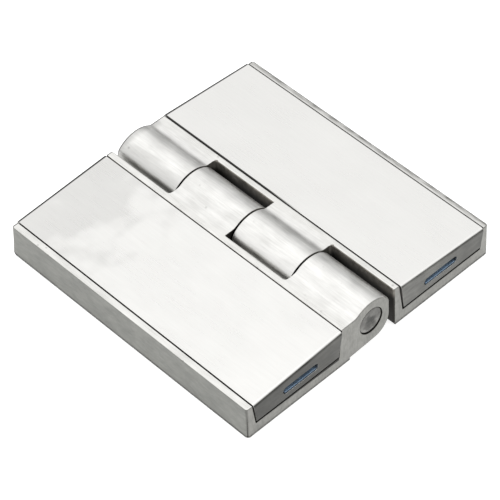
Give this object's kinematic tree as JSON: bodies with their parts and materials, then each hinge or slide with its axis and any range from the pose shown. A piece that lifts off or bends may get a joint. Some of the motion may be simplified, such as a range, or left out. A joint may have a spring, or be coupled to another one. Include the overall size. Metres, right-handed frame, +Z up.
{
  "type": "heavy-duty hinge",
  "caption": "Cast stainless hinge lying open and flat, with spring-held covers that hide its countersunk screw holes and a pressed-in pin.",
  "frame": {"origin": "middle of the open hinge's footprint, under the pin's axis, on the plane of the two mounting faces", "axes": "+Z up, away from the mounting faces; +Y along the pin, away from the viewer; +X towards the right leaf's outer edge"},
  "size_m": [0.1, 0.1, 0.0177],
  "materials": {
    "cast_stainless": "fine brushed and lightly blasted casting",
    "cover_stainless": "very fine satin polish",
    "pin_steel": "turned, dull",
    "blued_spring_steel": "heat-blued",
    "screw_steel": "plain"
  },
  "bodies": {
    "left_side": {"left_leaf": "cast_stainless", "hinge_pin": "pin_steel", "left_cover": "cover_stainless", "left_front_clip": "blued_spring_steel", "left_back_clip": "blued_spring_steel", "left_front_clip_screw_1": "screw_steel", "left_front_clip_screw_2": "screw_steel", "left_back_clip_screw_1": "screw_steel", "left_back_clip_screw_2": "screw_steel"},
    "right_side": {"right_leaf": "cast_stainless", "right_cover": "cover_stainless", "right_front_clip": "blued_spring_steel", "right_back_clip": "blued_spring_steel", "right_front_clip_screw_1": "screw_steel", "right_front_clip_screw_2": "screw_steel", "right_back_clip_screw_1": "screw_steel", "right_back_clip_screw_2": "screw_steel"}
  },
  "joints": [
    {"name": "leaf_swing", "type": "hinge", "parent": "left_side", "child": "right_side", "pos_m": [0, 0, 0.01025], "axis": [0, -1, 0], "range_deg": [-85, 110]}
  ]
}
